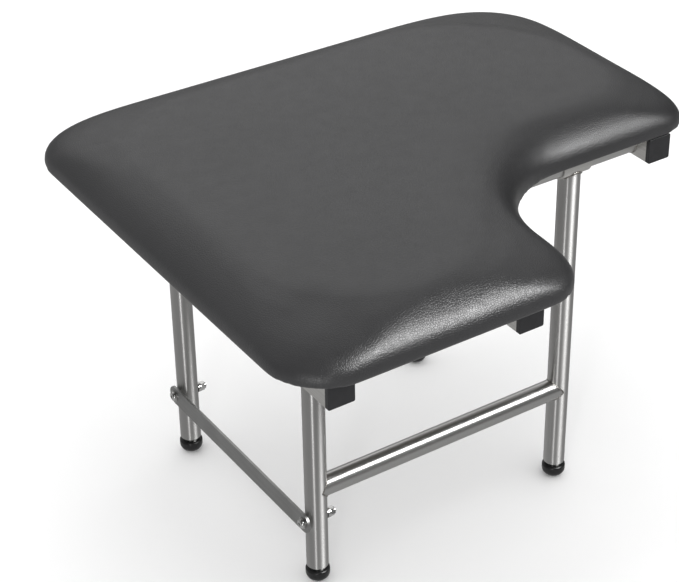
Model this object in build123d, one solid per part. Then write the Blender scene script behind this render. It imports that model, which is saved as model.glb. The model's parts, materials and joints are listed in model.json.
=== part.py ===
from build123d import *
import os

os.makedirs("parts", exist_ok=True)

# Folding L-shaped shower seat. Millimetres, +Z up, +Y towards the wall it is fastened to.
# The origin is on the floor, in the middle of the seat's width and depth.

# Cushion, seen from above: a main seat with a wing that reaches forward on the left.
SEAT_WIDTH = 641.0
SEAT_DEPTH = 596.6
CUSHION_BACK = 264.7
MAIN_FRONT = -97.3
WING_RIGHT = 16.5
RADIUS_BACK_LEFT = 56.0
RADIUS_BACK_RIGHT = 85.0
RADIUS_MAIN_FRONT = 42.0
RADIUS_INNER = 116.0
RADIUS_WING_RIGHT = 50.0
RADIUS_WING_LEFT = 69.0
CUSHION_BOTTOM = 446.5
CUSHION_TOP = 494.0
TOP_ROLL = 26.0
BOTTOM_ROLL = 4.0
COVER = 1.2
WRAP_WIDTH = 27.0
BOARD = 12.5
BOARD_INSET = 7.0
SKIN_GAP = 0.2

WALL = SEAT_DEPTH / 2
WING_FRONT = -SEAT_DEPTH / 2

# Frame: round tube for the legs and axles, square tube for the seat rails.
TUBE_RADIUS = 12.7
TUBE_WALL = 1.65
RAIL = 30.0
RAIL_WALL = 2.0
RAIL_CORNER = 2.0
RAIL_Z = CUSHION_BOTTOM - RAIL / 2
RAILS = {"left": (-268.3, -277.8), "middle": (-48.3, -277.8), "right": (274.3, -91.6)}
RAIL_BACK = 248.0
CAP = 5.3
CAP_PLUG = 6.5

AXLE_Z = 431.0
FRONT_AXLE = -62.3
REAR_AXLE = 228.3
LEGS = {"left": -163.5, "right": 175.6}
TUBE_END = 19.9
END_ROLL = 1.2
CROSSBAR_Z = 127.5
SLEEVE_RADIUS = 15.0
SLEEVE_BORE = 13.5
SLEEVE_HALF = 19.0
BUSH_BORE = TUBE_RADIUS + 0.05
BUSH_HALF = 18.0
COLLAR = 6.0
COLLAR_GAP = 0.4
COLLAR_RADIUS = 14.7

# Levelling feet
FOOT_RADIUS = 14.0
FOOT_TOP = 16.2
FOOT_ROUND = 9.5
FOOT_RIM = 2.6
FOOT_SOCKET = 7.0
STEM_RADIUS = 4.0
STEM_TOP = 32.0
STEM_COLLAR = 9.5
PLUG_TOP = 34.0

# Flat bar that keeps the front legs upright, and its two pivot bolts
LINK_Z = 86.5
LINK_HALF_HEIGHT = 12.0
LINK = 3.0
BOLT_RADIUS = 3.0
BOLT_END = 8.0
HEAD_RADIUS = 6.0
HEAD_HEIGHT = 3.4
HEAD_ROUND = 2.6
SOCKET_RADIUS = 2.3
SOCKET_DEPTH = 2.0
WASHER_RADIUS = 6.8
WASHER = 1.2
NUT_RADIUS = 5.75
NUT_HEIGHT = 5.0
NUT_COLLAR_RADIUS = 4.7
NUT_COLLAR = 1.6
FLANGE_RADIUS = 7.0
FLANGE = 2.0
SPACER_RADIUS = 4.0
INNER_SPACER_RADIUS = 6.0
INNER_SPACER = 4.0
PIVOT_PLAY = 0.05
OPEN_PIVOT_GAP = 0.35
LINK_INNER = LEGS["left"] - TUBE_RADIUS - FLANGE - PIVOT_PLAY

# Wall plates
PLATE_WIDTH = 70.0
PLATE_LOW = 306.0
PLATE_HIGH = 381.0
PLATE = 5.0
PLATE_HOLE = 4.25
PLATE_CORNER = 8.0
HOLE_SPAN_X = 50.0
HOLE_SPAN_Z = 54.0
STUB_RADIUS = 10.7

# Screws that hold the board on the rails
SCREW_RADIUS = 2.9
SCREW_HEAD = 6.0
SCREW_HEAD_HEIGHT = 3.5
SCREW_HEAD_ROUND = 1.6
SCREW_TIP = CUSHION_BOTTOM + 9.0
LONG_RAIL_SCREWS = (-240.0, -120.0, 30.0, 180.0)
SHORT_RAIL_SCREWS = (-30.0, 80.0, 180.0)
SCREWS = {"left": LONG_RAIL_SCREWS, "middle": LONG_RAIL_SCREWS, "right": SHORT_RAIL_SCREWS}


def rod_x(y, z, x_low, x_high, radius):
    return Pos((x_low + x_high) / 2, y, z) * Rot(0, 90, 0) * Cylinder(radius, x_high - x_low)


def rod_y(x, z, y_low, y_high, radius):
    return Pos(x, (y_low + y_high) / 2, z) * Rot(90, 0, 0) * Cylinder(radius, y_high - y_low)


def rod_z(x, y, z_low, z_high, radius):
    return Pos(x, y, (z_low + z_high) / 2) * Cylinder(radius, z_high - z_low)


def ring_x(y, z, x_low, x_high, radius, bore):
    return rod_x(y, z, x_low, x_high, radius) - rod_x(y, z, x_low, x_high, bore)


def save(name, *solids):
    whole = solids[0] if len(solids) == 1 else Compound(children=list(solids))
    export_step(whole, f"parts/{name}.step")


# ---------------------------------------------------------------- cushion

def seat_outline(inset):
    """The L of the cushion as a face on the XY plane, moved inwards by inset."""
    left = -SEAT_WIDTH / 2 + inset
    right = SEAT_WIDTH / 2 - inset
    front = WING_FRONT + inset
    back = CUSHION_BACK - inset
    step_x = WING_RIGHT - inset
    step_y = MAIN_FRONT + inset
    corners = [
        (left, front, RADIUS_WING_LEFT - inset),
        (step_x, front, RADIUS_WING_RIGHT - inset),
        (step_x, step_y, RADIUS_INNER + inset),
        (right, step_y, RADIUS_MAIN_FRONT - inset),
        (right, back, RADIUS_BACK_RIGHT - inset),
        (left, back, RADIUS_BACK_LEFT - inset),
    ]
    points = [(x, y) for x, y, radius in corners]
    radii = [radius for x, y, radius in corners]
    return make_face(FilletPolyline(*points, radius=radii, close=True))


def cushion_block(inset, z_low, z_high, top_roll, bottom_roll):
    block = Pos(0, 0, z_low) * extrude(seat_outline(inset), z_high - z_low)
    block = fillet(block.edges().group_by(Axis.Z)[-1], top_roll)
    return fillet(block.edges().group_by(Axis.Z)[0], bottom_roll)


def cushion_layers():
    """The cover, the foam under it and the board that the cover is turned in under."""
    outside = cushion_block(0, CUSHION_BOTTOM, CUSHION_TOP, TOP_ROLL, BOTTOM_ROLL)
    foam_low, foam_high = CUSHION_BOTTOM + COVER, CUSHION_TOP - COVER
    inside = cushion_block(COVER, foam_low, foam_high, TOP_ROLL - COVER, BOTTOM_ROLL - COVER)
    opening = Pos(0, 0, CUSHION_BOTTOM) * extrude(seat_outline(WRAP_WIDTH), COVER)
    cover = outside - inside - opening
    board = Pos(0, 0, foam_low) * extrude(seat_outline(BOARD_INSET), BOARD - COVER)
    foam = inside - board
    board += Pos(0, 0, CUSHION_BOTTOM) * extrude(seat_outline(WRAP_WIDTH + SKIN_GAP), COVER)
    for side, places in SCREWS.items():
        for y in places:
            board -= rod_z(RAILS[side][0], y, CUSHION_BOTTOM - 1, SCREW_TIP + 0.5, SCREW_RADIUS)
    return cover, foam, board


# ---------------------------------------------------------------- seat frame

def square_face(size, corner):
    return RectangleRounded(size, size, corner)


def along_rail(profile, x, y_low, length):
    """A profile drawn out along +Y on the centre line of the rail at x."""
    plane = Plane(origin=(x, y_low, RAIL_Z), x_dir=(1, 0, 0), z_dir=(0, 1, 0))
    return extrude(plane * profile, length)


def rail(side):
    x, front = RAILS[side]
    profile = square_face(RAIL, RAIL_CORNER) - square_face(RAIL - 2 * RAIL_WALL, RAIL_CORNER / 2)
    body = along_rail(profile, x, front, RAIL_BACK - front)
    for y in SCREWS[side]:
        body -= rod_z(x, y, RAIL_Z - RAIL, RAIL_Z + RAIL, SCREW_RADIUS + 0.3)
    if side == "middle":
        for y in (FRONT_AXLE, REAR_AXLE):
            body -= rod_x(y, AXLE_Z, x - RAIL, x + RAIL, TUBE_RADIUS)
    return body


def rail_cap(side, front):
    """A square plug with a visible plate, at the front or the back end of one rail."""
    x, rail_front = RAILS[side]
    bore = RAIL - 2 * RAIL_WALL - 0.1
    plug_profile = square_face(bore, 1.0) - square_face(bore - 5, 0.8)
    plate_at = rail_front - CAP if front else RAIL_BACK
    plug_at = rail_front if front else RAIL_BACK - CAP_PLUG
    plate = along_rail(square_face(RAIL, RAIL_CORNER), x, plate_at, CAP)
    outer = plate.edges().group_by(Axis.Y)[0 if front else -1]
    return fillet(outer, 0.8) + along_rail(plug_profile, x, plug_at, CAP_PLUG)


def axle(y):
    """A round tube welded between the outer rails, through the middle one."""
    ends = RAILS["left"][0] + RAIL / 2, RAILS["right"][0] - RAIL / 2
    return ring_x(y, AXLE_Z, *ends, TUBE_RADIUS, TUBE_RADIUS - TUBE_WALL)


def axle_collars(y):
    """Two rings on the axle, one each side of the left sleeve, that stop it sliding."""
    inner = SLEEVE_HALF + COLLAR_GAP
    x = LEGS["left"]
    left = ring_x(y, AXLE_Z, x - inner - COLLAR, x - inner, COLLAR_RADIUS, TUBE_RADIUS)
    right = ring_x(y, AXLE_Z, x + inner, x + inner + COLLAR, COLLAR_RADIUS, TUBE_RADIUS)
    return left, right


def board_screw(side, y):
    x = RAILS[side][0]
    under = RAIL_Z - RAIL / 2
    head = rod_z(x, y, under - SCREW_HEAD_HEIGHT, under, SCREW_HEAD)
    head = fillet(head.edges().group_by(Axis.Z)[0], SCREW_HEAD_ROUND)
    return head + rod_z(x, y, under, SCREW_TIP, SCREW_RADIUS)


# ---------------------------------------------------------------- legs

def leg(side, y):
    """One upright tube, coped on top to sit under its sleeve, with a rolled lower end."""
    x = LEGS[side]
    outside = rod_z(x, y, TUBE_END, AXLE_Z, TUBE_RADIUS)
    outside = fillet(outside.edges().group_by(Axis.Z)[0], END_ROLL)
    tube = outside - rod_z(x, y, TUBE_END, AXLE_Z, TUBE_RADIUS - TUBE_WALL)
    tube -= rod_x(y, AXLE_Z, x - 2 * TUBE_RADIUS, x + 2 * TUBE_RADIUS, SLEEVE_RADIUS)
    tube = tube.solids().sort_by(Axis.Z)[0]
    if side == "left":
        tube -= rod_x(y, LINK_Z, x - 2 * TUBE_RADIUS, x + 2 * TUBE_RADIUS, BOLT_RADIUS + 0.1)
    return tube


def sleeve(side, y):
    x = LEGS[side]
    return ring_x(y, AXLE_Z, x - SLEEVE_HALF, x + SLEEVE_HALF, SLEEVE_RADIUS, SLEEVE_BORE)


def bush(side, y):
    x = LEGS[side]
    return ring_x(y, AXLE_Z, x - BUSH_HALF, x + BUSH_HALF, SLEEVE_BORE, BUSH_BORE)


def crossbar():
    """The tube that joins the two front legs, coped to their round sides."""
    ends = LEGS["left"], LEGS["right"]
    tube = ring_x(FRONT_AXLE, CROSSBAR_Z, *ends, TUBE_RADIUS, TUBE_RADIUS - TUBE_WALL)
    for x in ends:
        tube -= rod_z(x, FRONT_AXLE, CROSSBAR_Z - 2 * TUBE_RADIUS, CROSSBAR_Z + 2 * TUBE_RADIUS, TUBE_RADIUS)
    return tube.solids().sort_by(SortBy.VOLUME)[-1]


def foot_pad(x, y):
    pad = rod_z(x, y, 0, FOOT_TOP, FOOT_RADIUS)
    pad = fillet(pad.edges().group_by(Axis.Z)[0], FOOT_ROUND)
    pad = fillet(pad.edges().group_by(Axis.Z)[-1], FOOT_RIM)
    return pad - rod_z(x, y, FOOT_SOCKET, FOOT_TOP, STEM_RADIUS)


def foot_stem(x, y):
    """A threaded stem with the collar that shows between the pad and the tube."""
    stem = rod_z(x, y, FOOT_SOCKET, STEM_TOP, STEM_RADIUS)
    return stem + rod_z(x, y, FOOT_TOP, TUBE_END - 0.2, STEM_COLLAR)


def foot_plug(x, y):
    plug = rod_z(x, y, TUBE_END, PLUG_TOP, TUBE_RADIUS - TUBE_WALL - 0.05)
    return plug - rod_z(x, y, TUBE_END, STEM_TOP + 0.3, STEM_RADIUS)


def per_leg(make, y):
    return [make(x, y) for x in LEGS.values()]


# ---------------------------------------------------------------- link bar

def link_bar():
    middle = (FRONT_AXLE + REAR_AXLE) / 2
    length = REAR_AXLE - FRONT_AXLE
    bar = Box(LINK, length, 2 * LINK_HALF_HEIGHT)
    bar = Pos(LINK_INNER - LINK / 2, middle, LINK_Z) * bar
    ends = {REAR_AXLE: SPACER_RADIUS + PIVOT_PLAY, FRONT_AXLE: SPACER_RADIUS + OPEN_PIVOT_GAP}
    for y in ends:
        bar += rod_x(y, LINK_Z, LINK_INNER - LINK, LINK_INNER, LINK_HALF_HEIGHT)
    for y, hole in ends.items():
        bar -= rod_x(y, LINK_Z, LINK_INNER - LINK, LINK_INNER, hole)
    return bar


def outer_spacer(y):
    """A flanged bush: its flange spaces the bar from the leg and its barrel is the pivot."""
    face = LEGS["left"] - TUBE_RADIUS
    flange = rod_x(y, LINK_Z, face - FLANGE, face, FLANGE_RADIUS)
    barrel = rod_x(y, LINK_Z, HEAD_SIDE, face - FLANGE, SPACER_RADIUS)
    return flange + barrel - rod_x(y, LINK_Z, HEAD_SIDE, face, BOLT_RADIUS)


def inner_spacer(y):
    face = LEGS["left"] + TUBE_RADIUS
    return ring_x(y, LINK_Z, face, face + INNER_SPACER, INNER_SPACER_RADIUS, BOLT_RADIUS)


HEAD_SIDE = LEGS["left"] - TUBE_RADIUS - FLANGE - LINK - 2 * PIVOT_PLAY
NUT_SIDE = LEGS["left"] + TUBE_RADIUS + INNER_SPACER


def pivot_washer(y):
    return ring_x(y, LINK_Z, HEAD_SIDE - WASHER, HEAD_SIDE, WASHER_RADIUS, BOLT_RADIUS)


def pivot_bolt(y):
    """A button-head bolt through the bar and the leg, with a hexagon socket."""
    under_head = HEAD_SIDE - WASHER
    head_top = under_head - HEAD_HEIGHT
    head = rod_x(y, LINK_Z, head_top, under_head, HEAD_RADIUS)
    head = fillet(head.edges().group_by(Axis.X)[0], HEAD_ROUND)
    socket_plane = Plane(origin=(head_top, y, LINK_Z), x_dir=(0, 1, 0), z_dir=(1, 0, 0))
    socket = extrude(socket_plane * RegularPolygon(SOCKET_RADIUS, 6), SOCKET_DEPTH)
    shank = rod_x(y, LINK_Z, under_head, NUT_SIDE + BOLT_END, BOLT_RADIUS)
    shank = chamfer(shank.edges().group_by(Axis.X)[-1], 0.6)
    return head - socket + shank


def pivot_nut(y):
    """A lock nut: a hexagon with a round collar."""
    plane = Plane(origin=(NUT_SIDE, y, LINK_Z), x_dir=(0, 1, 0), z_dir=(1, 0, 0))
    nut = extrude(plane * RegularPolygon(NUT_RADIUS, 6), NUT_HEIGHT)
    collar_low = NUT_SIDE + NUT_HEIGHT
    collar = rod_x(y, LINK_Z, collar_low, collar_low + NUT_COLLAR, NUT_COLLAR_RADIUS)
    collar = fillet(collar.edges().group_by(Axis.X)[-1], NUT_COLLAR / 2)
    return nut + collar - rod_x(y, LINK_Z, NUT_SIDE, NUT_SIDE + BOLT_END, BOLT_RADIUS)


# ---------------------------------------------------------------- wall fixing

def wall_plate(side):
    x = LEGS[side]
    z_mid = (PLATE_LOW + PLATE_HIGH) / 2
    plate = Pos(x, WALL - PLATE / 2, z_mid) * Box(PLATE_WIDTH, PLATE, PLATE_HIGH - PLATE_LOW)
    plate = fillet(plate.edges().filter_by(Axis.Y), PLATE_CORNER)
    for dx in (-HOLE_SPAN_X / 2, HOLE_SPAN_X / 2):
        for dz in (-HOLE_SPAN_Z / 2, HOLE_SPAN_Z / 2):
            plate -= rod_y(x + dx, z_mid + dz, WALL - PLATE, WALL, PLATE_HOLE)
    return plate


def wall_stub(side):
    """The short tube that holds a rear leg off its wall plate."""
    x = LEGS[side]
    z_mid = (PLATE_LOW + PLATE_HIGH) / 2
    tube = rod_y(x, z_mid, REAR_AXLE, WALL - PLATE, STUB_RADIUS)
    tube -= rod_y(x, z_mid, REAR_AXLE, WALL - PLATE, STUB_RADIUS - TUBE_WALL)
    tube -= rod_z(x, REAR_AXLE, z_mid - 2 * TUBE_RADIUS, z_mid + 2 * TUBE_RADIUS, TUBE_RADIUS)
    return tube.solids().sort_by(SortBy.VOLUME)[-1]


# ---------------------------------------------------------------- all the pieces

seat_cover, seat_foam, seat_board = cushion_layers()
save("seat_cover", seat_cover)
save("seat_foam", seat_foam)
save("seat_board", seat_board)

for side in RAILS:
    save(f"rail_{side}", rail(side))
save("rail_caps_front", *[rail_cap(side, True) for side in RAILS])
save("rail_caps_rear", *[rail_cap(side, False) for side in RAILS])
save("board_screws", *[board_screw(side, y) for side, places in SCREWS.items() for y in places])

for end, y in (("front", FRONT_AXLE), ("rear", REAR_AXLE)):
    save(f"axle_tube_{end}", axle(y))
    save(f"axle_collars_{end}", *axle_collars(y))
    for side in LEGS:
        save(f"leg_{end}_{side}", leg(side, y))
        save(f"sleeve_{end}_{side}", sleeve(side, y))
    save(f"sleeve_bushes_{end}", *[bush(side, y) for side in LEGS])
    save(f"foot_pads_{end}", *per_leg(foot_pad, y))
    save(f"foot_stems_{end}", *per_leg(foot_stem, y))
    save(f"foot_plugs_{end}", *per_leg(foot_plug, y))
    save(f"pivot_bolt_{end}", pivot_bolt(y))
    save(f"pivot_nut_{end}", pivot_nut(y))
    save(f"pivot_washer_{end}", pivot_washer(y))
    save(f"pivot_spacers_{end}", outer_spacer(y), inner_spacer(y))
save("crossbar", crossbar())
save("link_bar", link_bar())
for side in LEGS:
    save(f"wall_plate_{side}", wall_plate(side))
    save(f"wall_stub_{side}", wall_stub(side))
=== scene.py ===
import json
import math
import random

import bmesh
import bpy
import numpy as np
from mathutils import Matrix, Vector


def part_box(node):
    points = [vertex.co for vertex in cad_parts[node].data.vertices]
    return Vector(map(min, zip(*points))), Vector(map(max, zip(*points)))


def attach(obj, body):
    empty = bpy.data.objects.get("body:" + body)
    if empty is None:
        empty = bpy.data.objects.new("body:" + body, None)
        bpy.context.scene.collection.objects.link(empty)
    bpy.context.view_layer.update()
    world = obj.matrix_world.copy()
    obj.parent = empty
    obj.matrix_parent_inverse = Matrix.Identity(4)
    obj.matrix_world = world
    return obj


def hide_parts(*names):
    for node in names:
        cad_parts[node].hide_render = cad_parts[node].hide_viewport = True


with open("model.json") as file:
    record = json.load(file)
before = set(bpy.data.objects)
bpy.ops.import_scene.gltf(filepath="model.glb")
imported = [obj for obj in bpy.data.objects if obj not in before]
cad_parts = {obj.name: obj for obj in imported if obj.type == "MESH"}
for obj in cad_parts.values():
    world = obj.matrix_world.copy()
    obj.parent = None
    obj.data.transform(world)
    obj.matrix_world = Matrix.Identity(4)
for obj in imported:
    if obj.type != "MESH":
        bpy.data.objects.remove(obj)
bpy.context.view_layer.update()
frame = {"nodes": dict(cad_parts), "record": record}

# Looks of the folding L-shaped shower seat. Metres, +Z up, +Y towards the wall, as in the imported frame.

NODES = frame["nodes"]
MM = 0.001


# ---------------------------------------------------------------- the cushion's form

# The roll over the edge is a quarter of an ellipse, and the radii of the L's corners grow with the inset.
COVER_LOW, COVER_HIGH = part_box("seat_cover")
WING_RIGHT = 15.2 * MM
MAIN_FRONT = -97.3 * MM
RADIUS_WING_LEFT = 69 * MM
RADIUS_WING_RIGHT = 55 * MM
RADIUS_INNER = 116 * MM
RADIUS_MAIN_FRONT = 42 * MM
RADIUS_BACK_RIGHT = 81 * MM
RADIUS_BACK_LEFT = 62 * MM
CORNER_GROWTH = 1.74
BACK_RIGHT_GROWTH = 4.25
INNER_GROWTH = 1.67
ARC_STEPS = 14
SIDE_STEPS = 16
LONGEST_SHARE = 0.94

# The padding is a little out of square and a little fuller than the plain solid.
BACK_LEFT_OUT = 3.2 * MM
BACK_RIGHT_IN = 6.0 * MM
LEFT_SLANT = 1.5 * MM
FRONT_OUT = 1.4 * MM
FULLNESS = 1.2 * MM

LOWER_RIM = [(3 * MM, 0), (0.8 * MM, 0.8 * MM), (0, 2.5 * MM)]
UPRIGHT = 9.7 * MM
ROLL_WIDTH = 66 * MM
ROLL_STEPS = 22
CROWN = 2.2 * MM
CROWN_WIDTH = 120 * MM
CROWN_STARTS = 0.8 * ROLL_WIDTH
CROWN_ABOVE = UPRIGHT + 20 * MM
VOXEL = 4.5 * MM
HELD_BELOW = 2.5 * MM
SWELL_CAP = 2.5 * MM
SWELL_PRESSURE = 4.0
SWELL_FRAMES = 20
SWELL_EVENING = 24
SMOOTH_FROM = 6 * MM
SMOOTH_FULL = 26 * MM
SMOOTH_LEVELS = 10
SMOOTH_BEFORE = 4
SMOOTH_AFTER = 8

TURN_IN = 19 * MM
UNDERSIDE_BELOW = 1.5 * MM
UNDERSIDE_FROM = 6 * MM
UNDERSIDE_LIFT = 2 * MM
UNDERSIDE_STEP = 4 * MM


def seat_corners(inset):
    """The six corners of the L, moved inwards by inset: x, y and radius, below zero for the inner corner."""
    left = COVER_LOW.x + inset
    right = COVER_HIGH.x - inset
    front = COVER_LOW.y - FRONT_OUT + inset
    back = COVER_HIGH.y - inset
    step_x = WING_RIGHT - inset
    step_y = MAIN_FRONT - FRONT_OUT + inset
    grown = CORNER_GROWTH * inset
    corners = [
        [left - LEFT_SLANT, front, RADIUS_WING_LEFT + grown],
        [step_x, front, RADIUS_WING_RIGHT + grown],
        [step_x, step_y, -RADIUS_INNER - INNER_GROWTH * inset],
        [right, step_y, RADIUS_MAIN_FRONT + grown],
        [right, back - BACK_RIGHT_IN, RADIUS_BACK_RIGHT + BACK_RIGHT_GROWTH * inset],
        [left + LEFT_SLANT, back + BACK_LEFT_OUT, RADIUS_BACK_LEFT + grown],
    ]
    for i, corner in enumerate(corners):
        following = corners[(i + 1) % len(corners)]
        room = math.dist(corner[:2], following[:2]) * LONGEST_SHARE
        needed = corner[2] + following[2]
        if min(corner[2], following[2]) > 0 and needed > room:
            corner[2] *= room / needed
            following[2] *= room / needed
    return corners


def seat_outline(inset):
    """Points round the L, the same number at every inset: arcs joined by the lines that touch both."""
    corners = seat_corners(inset)
    count = len(corners)
    centres = []
    for i, (x, y, radius) in enumerate(corners):
        before = (Vector(corners[i - 1][:2]) - Vector((x, y))).normalized()
        after = (Vector(corners[(i + 1) % count][:2]) - Vector((x, y))).normalized()
        centres.append(Vector((x, y)) + (before + after) * abs(radius))
    leaving = []
    for i in range(count):
        across = centres[(i + 1) % count] - centres[i]
        lean = (corners[i][2] - corners[(i + 1) % count][2]) / across.length
        leaving.append(math.atan2(across.y, across.x) - math.acos(max(-1, min(1, lean))))
    arcs = []
    for i, (x, y, radius) in enumerate(corners):
        turn = (leaving[i] - leaving[i - 1] + math.pi) % (2 * math.pi) - math.pi
        angles = [leaving[i - 1] + turn * step / ARC_STEPS for step in range(ARC_STEPS + 1)]
        arcs.append([centres[i] + radius * Vector((math.cos(angle), math.sin(angle))) for angle in angles])
    points = []
    for i, arc in enumerate(arcs):
        points += arc
        start, end = arc[-1], arcs[(i + 1) % count][0]
        points += [start.lerp(end, step / SIDE_STEPS) for step in range(1, SIDE_STEPS)]
    return np.array([(p.x, p.y) for p in points])


def distance_inside(places, outline):
    """How far each place is inside the outline; negative outside it."""
    start = outline
    run = np.roll(outline, -1, axis=0) - start
    near = np.full(len(places), np.inf)
    crossings = np.zeros(len(places), int)
    for (sx, sy), (dx, dy) in zip(start, run):
        px, py = places[:, 0] - sx, places[:, 1] - sy
        along = np.clip((px * dx + py * dy) / (dx * dx + dy * dy), 0, 1)
        near = np.minimum(near, np.hypot(px - along * dx, py - along * dy))
        if dy:
            spans = (py < 0) != (py < dy)
            crossings += spans & (px < dx * py / dy)
    return np.where(crossings % 2 == 1, near, -near)


def loft(rings):
    """A closed mesh through a stack of rings with the same number of points."""
    mesh = bmesh.new()
    loops = [[mesh.verts.new(point) for point in ring] for ring in rings]
    count = len(loops[0])
    for low, high in zip(loops, loops[1:]):
        for i in range(count):
            j = (i + 1) % count
            mesh.faces.new((low[i], low[j], high[j], high[i]))
    mesh.faces.new(list(reversed(loops[0])))
    mesh.faces.new(loops[-1])
    return mesh


def new_object(name, mesh, smooth=True):
    """Turns a bmesh into an object in the scene."""
    bmesh.ops.recalc_face_normals(mesh, faces=mesh.faces)
    data = bpy.data.meshes.new(name)
    mesh.to_mesh(data)
    mesh.free()
    data.polygons.foreach_set("use_smooth", [smooth] * len(data.polygons))
    made = bpy.data.objects.new(name, data)
    bpy.context.scene.collection.objects.link(made)
    return made


def cushion_rings():
    """From the flat underside, round the lower edge, up the side and over the soft roll to the top."""
    low, top = COVER_LOW.z, COVER_HIGH.z - CROWN
    levels = [(TURN_IN, low)] + [(inset, low + rise) for inset, rise in LOWER_RIM]
    roll_low = low + UPRIGHT
    for step in range(ROLL_STEPS + 1):
        angle = 0.5 * math.pi * step / ROLL_STEPS
        levels.append((ROLL_WIDTH * (1 - math.cos(angle)), roll_low + (top - roll_low) * math.sin(angle)))
    return [[(x, y, z) for x, y in seat_outline(inset - FULLNESS)] for inset, z in levels]


def coordinates(mesh):
    flat = np.zeros(len(mesh.vertices) * 3)
    mesh.vertices.foreach_get("co", flat)
    return flat.reshape(-1, 3)


def set_coordinates(mesh, places):
    mesh.vertices.foreach_set("co", places.ravel())
    mesh.update()


def apply_modifiers(made):
    """Keeps the shape that the object's modifiers give and removes them."""
    graph = bpy.context.evaluated_depsgraph_get()
    result = bpy.data.meshes.new_from_object(made.evaluated_get(graph))
    made.modifiers.clear()
    made.data = result


def remesh(made):
    step = made.modifiers.new("Remesh", "REMESH")
    step.mode = "VOXEL"
    step.voxel_size = VOXEL
    step.use_smooth_shade = True
    apply_modifiers(made)


def ease(values):
    """A smooth step: 0 below 0, 1 above 1."""
    values = np.clip(values, 0, 1)
    return values * values * (3 - 2 * values)


def vertex_normals(mesh):
    flat = np.zeros(len(mesh.vertices) * 3)
    mesh.vertex_normals.foreach_get("vector", flat)
    return flat.reshape(-1, 3)


def spread_evenly(mesh, values, rounds):
    """Averages one number per vertex with its neighbours, several times over."""
    ends = np.zeros(len(mesh.edges) * 2, int)
    mesh.edges.foreach_get("vertices", ends)
    a, b = ends.reshape(-1, 2).T
    count = len(values)
    around = np.bincount(a, minlength=count) + np.bincount(b, minlength=count)
    for _ in range(rounds):
        total = np.bincount(a, values[b], count) + np.bincount(b, values[a], count)
        values = 0.5 * values + 0.5 * total / around
    return values


def swell(made):
    """Air pressure rounds the cover like foam does; the turned-in underside is held."""
    rest = coordinates(made.data)
    held = made.vertex_groups.new(name="held")
    under = np.nonzero(rest[:, 2] < COVER_LOW.z + HELD_BELOW)[0]
    held.add([int(i) for i in under], 1.0, "REPLACE")
    cloth = made.modifiers.new("Cloth", "CLOTH")
    settings = cloth.settings
    settings.quality = 6
    settings.mass = 0.3
    settings.tension_stiffness = 20
    settings.compression_stiffness = 20
    settings.shear_stiffness = 10
    settings.bending_stiffness = 2
    settings.use_pressure = True
    settings.uniform_pressure_force = SWELL_PRESSURE
    settings.vertex_group_mass = "held"
    settings.effector_weights.gravity = 0
    cloth.collision_settings.use_collision = False
    for step in range(1, SWELL_FRAMES + 1):
        bpy.context.scene.frame_set(step)
    normals = vertex_normals(made.data)
    apply_modifiers(made)
    outward = np.einsum("ij,ij->i", coordinates(made.data) - rest, normals)
    outward = spread_evenly(made.data, np.clip(outward, 0, SWELL_CAP), SWELL_EVENING)
    set_coordinates(made.data, rest + normals * outward[:, None])
    made.vertex_groups.clear()
    bpy.context.scene.frame_set(1)


def crown_top(made):
    """The middle of the top stands a little higher than its edge."""
    places = coordinates(made.data)
    upper = places[:, 2] > COVER_LOW.z + CROWN_ABOVE
    inside = distance_inside(places[:, :2], seat_outline(CROWN_STARTS))
    places[:, 2] += np.where(upper, CROWN * ease(inside / CROWN_WIDTH), 0)
    set_coordinates(made.data, places)


def settle_underside(made):
    """The underside lies flat, and its middle is hidden just inside the board."""
    places = coordinates(made.data)
    low = COVER_LOW.z
    under = places[:, 2] < low + UNDERSIDE_BELOW
    inside = distance_inside(places[:, :2], seat_outline(0))
    flat = under & (inside > UNDERSIDE_FROM)
    lift = UNDERSIDE_LIFT * ease((inside - TURN_IN) / UNDERSIDE_STEP)
    places[:, 2] = np.where(flat, low + lift, np.maximum(places[:, 2], low))
    set_coordinates(made.data, places)


def smooth_out(made, rounds):
    """Evens out the top; the lower edge keeps its shape."""
    places = coordinates(made.data)
    upper = ease((places[:, 2] - COVER_LOW.z - SMOOTH_FROM) / (SMOOTH_FULL - SMOOTH_FROM))
    group = made.vertex_groups.new(name="upper")
    for share in range(1, SMOOTH_LEVELS + 1):
        chosen = np.nonzero(np.round(upper * SMOOTH_LEVELS) == share)[0]
        group.add([int(i) for i in chosen], share / SMOOTH_LEVELS, "REPLACE")
    step = made.modifiers.new("Smooth", "SMOOTH")
    step.factor = 0.5
    step.iterations = rounds
    step.vertex_group = "upper"
    apply_modifiers(made)
    made.vertex_groups.clear()


def make_cushion():
    """The padded seat: a lofted L, crowned, swollen by cloth and settled on its board."""
    made = new_object("seat_cushion", loft(cushion_rings()))
    remesh(made)
    crown_top(made)
    smooth_out(made, SMOOTH_BEFORE)
    swell(made)
    smooth_out(made, SMOOTH_AFTER)
    settle_underside(made)
    divide = made.modifiers.new("Subdivision", "SUBSURF")
    divide.levels = 1
    divide.render_levels = 1
    apply_modifiers(made)
    made.data.polygons.foreach_set("use_smooth", [True] * len(made.data.polygons))
    made.data.materials.clear()
    return made


# ---------------------------------------------------------------- the turned-in edge and its staples

HEM_OUTER = 7 * MM
HEM_INNER = 24 * MM
HEM = 0.9 * MM
HEM_FLAT = HEM * 0.55
HEM_SUNK = 0.6 * MM
HEM_ROWS = 7
HEM_STEEPNESS = 4
PLEAT = HEM * 0.9
PLEAT_STEPS = 3.5
NOTCH_CORNER = 2

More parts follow.
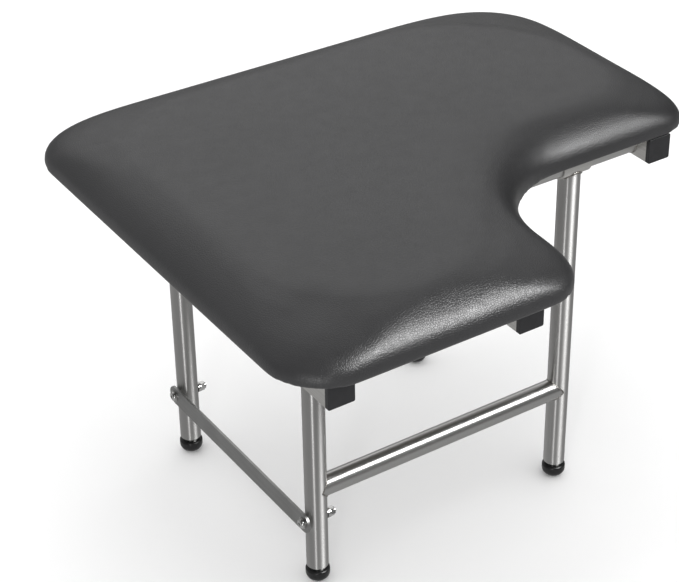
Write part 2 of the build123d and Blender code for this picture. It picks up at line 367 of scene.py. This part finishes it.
STAPLE_INSET = 17 * MM
STAPLE_PITCH = 26 * MM
STAPLE_LENGTH = 10 * MM
STAPLE_WIRE = 0.55 * MM
STAPLE_STRAY = 3 * MM
STAPLE_TURN = 0.25
STAPLE_BEND = 0.5 * MM
STAPLE_SHOULDER = 0.2 * MM
STAPLE_CROWN = 0.6 * MM
STAPLE_SUNK = 2 * MM
RAIL_CLEARANCE = 4 * MM


def edge_moved_in(distance):
    """The cushion's edge moved inwards by the same distance all round."""
    edge = seat_outline(0)
    along = np.roll(edge, -1, axis=0) - np.roll(edge, 1, axis=0)
    along /= np.hypot(*along.T)[:, None]
    return edge + distance * np.column_stack((-along[:, 1], along[:, 0]))


def make_hem():
    """The edge of the cover where it is turned in under the board, with small folds at the corners."""
    low = COVER_LOW.z
    outer, inner = edge_moved_in(HEM_OUTER), edge_moved_in(HEM_INNER)
    per_corner = ARC_STEPS + SIDE_STEPS
    mesh = bmesh.new()
    rows = []
    for level in range(HEM_ROWS + 1):
        share = level / HEM_ROWS
        row = []
        for i in range(len(outer)):
            x, y = outer[i] * (1 - share) + inner[i] * share
            along = i % per_corner
            folds = along < ARC_STEPS and i // per_corner != NOTCH_CORNER
            pleat = 0.5 * (1 - math.cos(2 * math.pi * along / PLEAT_STEPS)) if folds else 0
            rise = min(1, share * HEM_STEEPNESS) * (HEM_FLAT + PLEAT * pleat * share)
            row.append(mesh.verts.new((x, y, low - rise)))
        rows.append(row)
    for edge in (rows[-1], rows[0]):
        rows.append([mesh.verts.new((v.co.x, v.co.y, low + HEM_SUNK)) for v in edge])
    rows.append(rows[0])
    count = len(outer)
    for a, b in zip(rows, rows[1:]):
        for i in range(count):
            j = (i + 1) % count
            mesh.faces.new((a[i], a[j], b[j], b[i]))
    return new_object("cover_turn_in", mesh)


def tube_along(mesh, path, radius, sides=8, closed=False, ripple=0.0, ripples=0):
    """Adds a round tube along a path of points; ripple makes the swellings of a weld bead."""
    count = len(path)
    rings = []
    for i, point in enumerate(path):
        if closed:
            forward = (path[(i + 1) % count] - path[i - 1]).normalized()
        else:
            forward = (path[min(i + 1, count - 1)] - path[max(i - 1, 0)]).normalized()
        helper = Vector((0, 0, 1)) if abs(forward.z) < 0.8 else Vector((1, 0, 0))
        side = forward.cross(helper).normalized()
        up = side.cross(forward)
        swelling = 1 + ripple * math.sin(2 * math.pi * ripples * i / count)
        ring = []
        for k in range(sides):
            angle = 2 * math.pi * k / sides
            offset = side * math.cos(angle) + up * math.sin(angle)
            ring.append(mesh.verts.new(point + offset * radius * swelling))
        rings.append(ring)
    pairs = zip(rings, rings[1:] + rings[:1]) if closed else zip(rings, rings[1:])
    for a, b in pairs:
        turn = min(range(sides), key=lambda s: (b[s].co - a[0].co).length)
        for k in range(sides):
            m = (k + 1) % sides
            mesh.faces.new((a[k], a[m], b[(m + turn) % sides], b[(k + turn) % sides]))
    if not closed:
        mesh.faces.new(list(reversed(rings[0])))
        mesh.faces.new(rings[-1])


def make_staples():
    """Wire staples round the turned-in edge, left out where a rail covers it."""
    line = edge_moved_in(STAPLE_INSET)
    following = np.roll(line, -1, axis=0)
    steps = np.hypot(*(following - line).T)
    total = steps.sum()
    chance = random.Random(7)
    covered = [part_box(f"rail_{side}") for side in ("left", "middle", "right")]
    reach = RAIL_CLEARANCE + STAPLE_LENGTH / 2
    mesh = bmesh.new()
    for number in range(int(total / STAPLE_PITCH)):
        at = (number * STAPLE_PITCH + chance.uniform(-1, 1) * STAPLE_STRAY) % total
        index = int(np.searchsorted(np.cumsum(steps), at))
        middle = Vector((*line[index], COVER_LOW.z - HEM))
        along = Vector((*(following[index] - line[index]), 0)).normalized()
        along.rotate(Matrix.Rotation(chance.uniform(-STAPLE_TURN, STAPLE_TURN), 3, "Z"))
        under_rail = any(
            low.x - reach < middle.x < high.x + reach
            and low.y - STAPLE_LENGTH < middle.y < high.y + STAPLE_LENGTH
            for low, high in covered
        )
        if under_rail:
            continue
        down = Vector((0, 0, -1))
        half = along * STAPLE_LENGTH / 2
        inner = half - along * STAPLE_BEND
        path = [
            middle - half - down * STAPLE_SUNK,
            middle - half + down * STAPLE_SHOULDER,
            middle - inner + down * STAPLE_CROWN,
            middle + inner + down * STAPLE_CROWN,
            middle + half + down * STAPLE_SHOULDER,
            middle + half - down * STAPLE_SUNK,
        ]
        tube_along(mesh, path, STAPLE_WIRE, sides=6)
    return new_object("cover_staples", mesh)


# ---------------------------------------------------------------- weld beads

BEAD = 1.5 * MM
FINE_BEAD = 0.9 * MM
TURN_OF_BEAD = 1.5 * MM
BEAD_POINTS = 96
BEAD_RIPPLE = 0.14
BEAD_RIPPLES = 26


def centre(node):
    low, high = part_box(node)
    return (low + high) / 2


def bead_ring(point_at):
    """Points of a closed weld line, from a function of the angle round it."""
    return [Vector(point_at(2 * math.pi * i / BEAD_POINTS)) for i in range(BEAD_POINTS)]


def tube_radius(node):
    low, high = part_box(node)
    return min(high.x - low.x, high.y - low.y, high.z - low.z) / 2


def welds_of_frame(end):
    """Beads where the two legs of one end meet their sleeves."""
    lines = []
    radius = tube_radius(f"leg_{end}_left")
    for side in ("left", "right"):
        leg, sleeve = centre(f"leg_{end}_{side}"), centre(f"sleeve_{end}_{side}")
        sleeve_radius = tube_radius(f"sleeve_{end}_{side}")

        def round_leg(angle, leg=leg, axis_z=sleeve.z, sleeve_radius=sleeve_radius):
            y = radius * math.sin(angle)
            depth = math.sqrt(sleeve_radius ** 2 - y * y)
            return leg.x + radius * math.cos(angle), leg.y + y, axis_z - depth

        lines.append(bead_ring(round_leg))
    return lines


def welds_of_crossbar():
    """Beads where the crossbar's ends meet the round sides of the front legs."""
    lines = []
    bar = centre("crossbar")
    radius = tube_radius("crossbar")
    for side, way in (("left", 1), ("right", -1)):
        leg = centre(f"leg_front_{side}")

        def round_bar(angle, leg=leg, way=way):
            out = math.hypot(radius * math.sin(angle), TURN_OF_BEAD)
            return leg.x + way * out, leg.y + radius * math.cos(angle), bar.z + radius * math.sin(angle)

        lines.append(bead_ring(round_bar))
    return lines


def welds_of_wall():
    """Beads where the wall stubs meet the wall plates and the rear legs."""
    lines = []
    for side in ("left", "right"):
        stub = centre(f"wall_stub_{side}")
        stub_low, stub_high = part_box(f"wall_stub_{side}")
        stub_radius = (stub_high.x - stub_low.x) / 2
        plate_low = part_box(f"wall_plate_{side}")[0]
        leg = centre(f"leg_rear_{side}")
        radius = tube_radius(f"leg_rear_{side}")

        def on_plate(angle, stub=stub, face=plate_low.y, r=stub_radius):
            return stub.x + r * math.cos(angle), face, stub.z + r * math.sin(angle)

        def on_leg(angle, stub=stub, leg=leg, r=stub_radius, radius=radius):
            x = r * math.cos(angle)
            return stub.x + x, leg.y + math.sqrt(radius ** 2 - x * x), stub.z + r * math.sin(angle)

        lines += [bead_ring(on_plate), bead_ring(on_leg)]
    return lines


def welds_of_seat():
    """Rings of weld where the axle tubes meet the rails."""
    lines = []
    left, middle, right = (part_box(f"rail_{side}") for side in ("left", "middle", "right"))
    faces = [left[1].x, middle[0].x, middle[1].x, right[0].x]
    for end in ("front", "rear"):
        axle = centre(f"axle_tube_{end}")
        radius = tube_radius(f"axle_tube_{end}")
        for face in faces:

            def round_axle(angle, axle=axle, face=face, radius=radius):
                return face, axle.y + radius * math.cos(angle), axle.z + radius * math.sin(angle)

            lines.append(bead_ring(round_axle))
    return lines


def make_welds(name, lines, fine_lines=()):
    """One piece with all the weld beads of a body."""
    mesh = bmesh.new()
    for chosen, bead in ((lines, BEAD), (fine_lines, FINE_BEAD)):
        for line in chosen:
            tube_along(mesh, line, bead, closed=True, ripple=BEAD_RIPPLE, ripples=BEAD_RIPPLES)
    return new_object(name, mesh)


# ---------------------------------------------------------------- materials

NOISE_ROUGHNESS = 0.55


def map_range(tree, value, spans, interpolation="LINEAR"):
    """Turns one span of values into another: from low, from high, to low and to high."""
    node = tree.nodes.new("ShaderNodeMapRange")
    node.interpolation_type = interpolation
    for socket, number in zip(("From Min", "From Max", "To Min", "To Max"), spans):
        node.inputs[socket].default_value = number
    tree.links.new(value, node.inputs["Value"])
    return node.outputs["Result"]


class Look:
    """A node material built step by step; every link goes into the one Principled shader."""

    def __init__(self, name, **sockets):
        self.material = bpy.data.materials.new(name)
        self.material.use_nodes = True
        self.tree = self.material.node_tree
        self.shader = self.tree.nodes["Principled BSDF"]
        for socket, value in sockets.items():
            self.shader.inputs[socket.replace("_", " ")].default_value = value
        self.place = self.tree.nodes.new("ShaderNodeTexCoord").outputs["Object"]
        self.last_bump = None

    def stretched(self, scale):
        """The object's own coordinates, or those coordinates scaled along each axis."""
        if scale is None:
            return self.place
        mapping = self.tree.nodes.new("ShaderNodeMapping")
        mapping.inputs["Scale"].default_value = scale
        self.tree.links.new(self.place, mapping.inputs["Vector"])
        return mapping.outputs["Vector"]

    def noise(self, scale, detail=4.0, stretch=None):
        node = self.tree.nodes.new("ShaderNodeTexNoise")
        node.inputs["Scale"].default_value = scale
        node.inputs["Detail"].default_value = detail
        node.inputs["Roughness"].default_value = NOISE_ROUGHNESS
        self.tree.links.new(self.stretched(stretch), node.inputs["Vector"])
        return node.outputs["Fac"]

    def cells(self, scale, feature):
        node = self.tree.nodes.new("ShaderNodeTexVoronoi")
        node.feature = feature
        node.inputs["Scale"].default_value = scale
        self.tree.links.new(self.place, node.inputs["Vector"])
        return node.outputs["Distance"]

    def bands(self, scale, direction, distortion, detail, stretch):
        node = self.tree.nodes.new("ShaderNodeTexWave")
        node.bands_direction = direction
        node.inputs["Scale"].default_value = scale
        node.inputs["Distortion"].default_value = distortion
        node.inputs["Detail"].default_value = detail
        self.tree.links.new(self.stretched(stretch), node.inputs["Vector"])
        return node.outputs["Fac"]

    def between(self, value, low, high, from_low=0.0, from_high=1.0):
        return map_range(self.tree, value, (from_low, from_high, low, high))

    def times(self, a, b):
        node = self.tree.nodes.new("ShaderNodeMath")
        node.operation = "MULTIPLY"
        self.tree.links.new(a, node.inputs[0])
        self.tree.links.new(b, node.inputs[1])
        return node.outputs["Value"]

    def colour(self, value, dark, light, low=0.3, high=0.7):
        node = self.tree.nodes.new("ShaderNodeValToRGB")
        node.color_ramp.elements[0].position = low
        node.color_ramp.elements[1].position = high
        node.color_ramp.elements[0].color = (*dark, 1)
        node.color_ramp.elements[1].color = (*light, 1)
        self.tree.links.new(value, node.inputs["Fac"])
        self.tree.links.new(node.outputs["Color"], self.shader.inputs["Base Color"])
        return self

    def roughness(self, value, low, high):
        self.tree.links.new(self.between(value, low, high, 0.25, 0.75), self.shader.inputs["Roughness"])
        return self

    def bump(self, height, strength, distance):
        node = self.tree.nodes.new("ShaderNodeBump")
        node.inputs["Strength"].default_value = strength
        node.inputs["Distance"].default_value = distance
        self.tree.links.new(height, node.inputs["Height"])
        if self.last_bump is not None:
            self.tree.links.new(self.last_bump, node.inputs["Normal"])
        self.last_bump = node.outputs["Normal"]
        self.tree.links.new(self.last_bump, self.shader.inputs["Normal"])
        return self

    def turned(self, axis):
        """Brushing that runs round the axis of a tube."""
        node = self.tree.nodes.new("ShaderNodeTangent")
        node.direction_type = "RADIAL"
        node.axis = axis
        self.tree.links.new(node.outputs["Tangent"], self.shader.inputs["Tangent"])
        return self


def shades(colour, spread):
    """A darker and a lighter version of a colour."""
    return tuple(c * (1 - spread) for c in colour), tuple(min(c * (1 + spread), 1) for c in colour)


def vinyl(name, colour, rough):
    look = Look(name, Specular_IOR_Level=0.5, Coat_Weight=0.06, Coat_Roughness=0.35)
    look.colour(look.noise(9, detail=3), *shades(colour, 0.05))
    look.roughness(look.noise(60, detail=5), rough - 0.035, rough + 0.035)
    look.bump(look.noise(22, detail=2), 0.16, 1.0 * MM)
    grain = look.between(look.cells(430, "DISTANCE_TO_EDGE"), 0, 1, 0.0, 0.2)
    look.bump(look.times(grain, look.between(look.noise(190, detail=2), 0.55, 1.0)), 0.5, 0.26 * MM)
    look.bump(look.noise(2600, detail=2), 0.18, 0.05 * MM)
    return look.material


def tube_steel(name, colour, axis, rough=0.4):
    """Satin polished tube: fine brushing round it, and long reflections along it."""
    look = Look(name, Metallic=1.0, Anisotropic=0.95, Anisotropic_Rotation=0.25)
    fine = {"X": (1400, 40, 40), "Y": (40, 1400, 40), "Z": (40, 40, 1400)}[axis]
    long = {"X": (1.5, 60, 60), "Y": (60, 1.5, 60), "Z": (60, 60, 1.5)}[axis]
    look.colour(look.noise(1, detail=3, stretch=long), *shades(colour, 0.08))
    look.roughness(look.noise(1, detail=3, stretch=fine), rough - 0.015, rough + 0.025)
    look.bump(look.noise(1, detail=2, stretch=fine), 0.012, 0.02 * MM)
    look.turned(axis)
    return look.material


def flat_steel(name, colour, along, rough):
    """Steel with straight brushing along one axis, as mill-finished bar and square tube have."""
    look = Look(name, Metallic=1.0)
    fine = {"X": (14, 1900, 1900), "Y": (1900, 14, 1900), "Z": (1900, 1900, 14)}[along]
    look.colour(look.noise(1, detail=6, stretch=fine), *shades(colour, 0.16))
    look.roughness(look.noise(40, detail=5), rough - 0.06, rough + 0.06)
    look.bump(look.noise(1, detail=4, stretch=fine), 0.22, 0.04 * MM)
    look.bump(look.noise(90, detail=3), 0.05, 0.1 * MM)
    return look.material


def bright_steel(name, colour, rough):
    look = Look(name, Metallic=1.0)
    look.colour(look.noise(350, detail=4), *shades(colour, 0.12))
    look.roughness(look.noise(700, detail=4), rough - 0.05, rough + 0.09)
    look.bump(look.noise(900, detail=3), 0.12, 0.04 * MM)
    return look.material


def weld_steel(name):
    look = Look(name, Metallic=1.0)
    look.colour(look.noise(240, detail=4), (0.20, 0.185, 0.165), (0.46, 0.45, 0.43))
    look.roughness(look.noise(500, detail=4), 0.24, 0.46)
    look.bump(look.noise(900, detail=3), 0.25, 0.12 * MM)
    return look.material


def moulded(name, colour, rough, grain=900, depth=0.03 * MM):
    look = Look(name, Specular_IOR_Level=0.45)
    look.colour(look.noise(130, detail=4), *shades(colour, 0.18))
    look.roughness(look.noise(240, detail=4), rough - 0.06, rough + 0.06)
    look.bump(look.noise(grain, detail=3), 0.3, depth)
    return look.material


def filmed_board(name):
    """Marine plywood with a dark brown phenolic film and the faint grain that shows through it."""
    look = Look(name, Specular_IOR_Level=0.45)
    grain = look.bands(9, "X", 7.0, detail=4, stretch=(1.0, 0.12, 1.0))
    look.colour(grain, (0.036, 0.025, 0.017), (0.050, 0.034, 0.023), 0.1, 0.9)
    look.roughness(look.noise(120, detail=5), 0.34, 0.5)
    look.bump(look.noise(1, detail=5, stretch=(900, 40, 900)), 0.2, 0.1 * MM)
    return look.material


VINYL_COLOUR = (0.027, 0.027, 0.0284)
LEG_COLOUR = (0.62, 0.615, 0.605)
RAIL_COLOUR = (0.64, 0.63, 0.61)
BAR_COLOUR = (0.34, 0.34, 0.335)


def paint(made, material):
    made.data.materials.clear()
    made.data.materials.append(material)


def tube_axis(node):
    low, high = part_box(node)
    spans = {"X": high.x - low.x, "Y": high.y - low.y, "Z": high.z - low.z}
    return max(spans, key=spans.get)


def dress_frame():
    """Gives every carried-over CAD piece a node material, by the record's material slot."""
    tubes = {axis: tube_steel(f"leg_steel_{axis.lower()}", LEG_COLOUR, axis) for axis in "XYZ"}
    sleeves = flat_steel("sleeve_steel", RAIL_COLOUR, "X", 0.36)
    rails = flat_steel("rail_steel", RAIL_COLOUR, "Y", 0.34)
    plain = {
        "rail_steel": rails,
        "flat_bar_steel": flat_steel("flat_bar_steel", BAR_COLOUR, "Y", 0.42),
        "fasteners": bright_steel("fasteners", (0.66, 0.66, 0.65), 0.2),
        "black_plastic": moulded("black_plastic", (0.014, 0.014, 0.016), 0.42),
        "bush_plastic": moulded("bush_plastic", (0.02, 0.02, 0.021), 0.5),
        "foot_rubber": moulded("foot_rubber", (0.008, 0.008, 0.0085), 0.34, 1400, 0.02 * MM),
        "board": filmed_board("board"),
    }
    for part in frame["record"]["subparts"]:
        node, slot = part["node"], part["material_slot"]
        if slot == "leg_steel":
            paint(NODES[node], tubes[tube_axis(node)])
        elif node.startswith(("sleeve", "axle_collars")):
            paint(NODES[node], sleeves)
        elif slot in plain:
            paint(NODES[node], plain[slot])


# ---------------------------------------------------------------- floor, light and camera

CAMERA_PLACE = (-1.058133, -1.516715, 1.491374)
CAMERA_HEADING = -32.615
CAMERA_TILT = 57.077
CAMERA_ROLL = -1.0527
CAMERA_LENS = 104.547
FLOOR_SIZE = 24.0
AIM = Vector((0.0, 0.0, 0.32))
SKY_LOW = -0.3
SKY_HIGH = 0.0


def make_floor():
    """A plain pale floor under the object."""
    mesh = bmesh.new()
    half = FLOOR_SIZE / 2
    signs = ((-1, -1), (1, -1), (1, 1), (-1, 1))
    mesh.faces.new([mesh.verts.new((x * half, y * half, 0)) for x, y in signs])
    floor = new_object("floor", mesh, smooth=False)
    look = Look("floor", Specular_IOR_Level=0.1)
    look.colour(look.noise(2, detail=2), (0.86, 0.86, 0.86), (0.88, 0.88, 0.88))
    look.roughness(look.noise(6, detail=2), 0.85, 0.95)
    paint(floor, look.material)
    floor.visible_glossy = False


def area_light(name, direction, distance, width, height, power):
    """A soft box that looks at the seat from a direction."""
    data = bpy.data.lights.new(name, "AREA")
    data.shape = "RECTANGLE"
    data.size, data.size_y = width, height
    data.energy = power
    light = bpy.data.objects.new(name, data)
    way = Vector(direction).normalized()
    light.location = AIM + way * distance
    light.rotation_euler = way.to_track_quat("Z", "Y").to_euler()
    bpy.context.scene.collection.objects.link(light)
    return light


def sky_with_cards(tree, way, strength, cards):
    """Adds pale round cards with soft edges to the sky's strength; each faces one direction."""
    for direction, inner, outer, brightness in cards:
        dot = tree.nodes.new("ShaderNodeVectorMath")
        dot.operation = "DOT_PRODUCT"
        dot.inputs[1].default_value = Vector(direction).normalized()
        tree.links.new(way, dot.inputs[0])
        spans = (math.cos(math.radians(outer)), math.cos(math.radians(inner)), 0.0, brightness)
        card = map_range(tree, dot.outputs["Value"], spans, "SMOOTHSTEP")
        add = tree.nodes.new("ShaderNodeMath")
        add.operation = "ADD"
        tree.links.new(card, add.inputs[0])
        tree.links.new(strength, add.inputs[1])
        strength = add.outputs["Value"]
    return strength


def studio_sky(cards, base_low, base_high, fill_side, fill_top, shown):
    """Even white behind the object, a soft fill from overhead, and pale cards round it to be reflected."""
    world = bpy.data.worlds.new("studio")
    world.use_nodes = True
    bpy.context.scene.world = world
    tree = world.node_tree
    tree.nodes.clear()
    way = tree.nodes.new("ShaderNodeTexCoord").outputs["Generated"]
    height = tree.nodes.new("ShaderNodeSeparateXYZ")
    tree.links.new(way, height.inputs["Vector"])
    base = map_range(tree, height.outputs["Z"], (SKY_LOW, SKY_HIGH, base_low, base_high))
    reflected = tree.nodes.new("ShaderNodeBackground")
    tree.links.new(sky_with_cards(tree, way, base, cards), reflected.inputs["Strength"])
    path = tree.nodes.new("ShaderNodeLightPath")
    overhead = map_range(tree, height.outputs["Z"], (0.0, 1.0, fill_side, fill_top), "SMOOTHSTEP")
    filled = tree.nodes.new("ShaderNodeBackground")
    tree.links.new(overhead, filled.inputs["Strength"])
    behind = tree.nodes.new("ShaderNodeBackground")
    behind.inputs["Strength"].default_value = shown
    shader = reflected.outputs["Background"]
    for ray, light in (("Is Diffuse Ray", filled), ("Is Camera Ray", behind)):
        mix = tree.nodes.new("ShaderNodeMixShader")
        tree.links.new(path.outputs[ray], mix.inputs["Fac"])
        tree.links.new(shader, mix.inputs[1])
        tree.links.new(light.outputs["Background"], mix.inputs[2])
        shader = mix.outputs["Shader"]
    out = tree.nodes.new("ShaderNodeOutputWorld")
    tree.links.new(shader, out.inputs["Surface"])


def make_light():
    cards = [
        ((0.42, 0.70, 0.58), 10, 38, 1.15),
        ((-0.40, 0.72, 0.58), 10, 50, 0.4),
    ]
    studio_sky(cards, base_low=0.55, base_high=0.08, fill_side=1.1, fill_top=2.0, shown=1.25)
    key = area_light("soft_box_front_right", (0.36, -0.64, 0.68), 2.4, 0.9, 1.0, 84)
    key.visible_diffuse = False
    area_light("strip_left_of_camera", (-0.72, -0.72, 0.05), 2.6, 0.22, 1.8, 17)
    bpy.context.scene.view_settings.view_transform = "Standard"


def make_camera():
    data = bpy.data.cameras.new("camera")
    data.lens = CAMERA_LENS
    data.sensor_width = 36
    data.clip_end = 60
    camera = bpy.data.objects.new("camera", data)
    turn = Matrix.Rotation(math.radians(CAMERA_HEADING), 4, "Z")
    tilt = Matrix.Rotation(math.radians(CAMERA_TILT), 4, "X")
    roll = Matrix.Rotation(math.radians(CAMERA_ROLL), 4, "Z")
    camera.matrix_world = Matrix.Translation(CAMERA_PLACE) @ turn @ tilt @ roll
    bpy.context.scene.collection.objects.link(camera)
    bpy.context.scene.camera = camera


# ---------------------------------------------------------------- putting it together

make_camera()
make_floor()
make_light()
dress_frame()

cover_material = vinyl("seat_vinyl", VINYL_COLOUR, 0.37)
cushion = make_cushion()
paint(cushion, cover_material)
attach(cushion, "seat")
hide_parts("seat_cover", "seat_foam")

hem = make_hem()
paint(hem, cover_material)
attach(hem, "seat")

staples = make_staples()
paint(staples, bright_steel("staple_wire", (0.6, 0.6, 0.6), 0.25))
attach(staples, "seat")

weld = weld_steel("weld_bead")
WELDS = {
    "seat": (welds_of_seat(), []),
    "front_frame": (welds_of_frame("front"), welds_of_crossbar()),
    "rear_frame": (welds_of_frame("rear") + welds_of_wall(), []),
}
for body, (lines, fine_lines) in WELDS.items():
    beads = make_welds(f"welds_{body}", lines, fine_lines)
    paint(beads, weld)
    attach(beads, body)
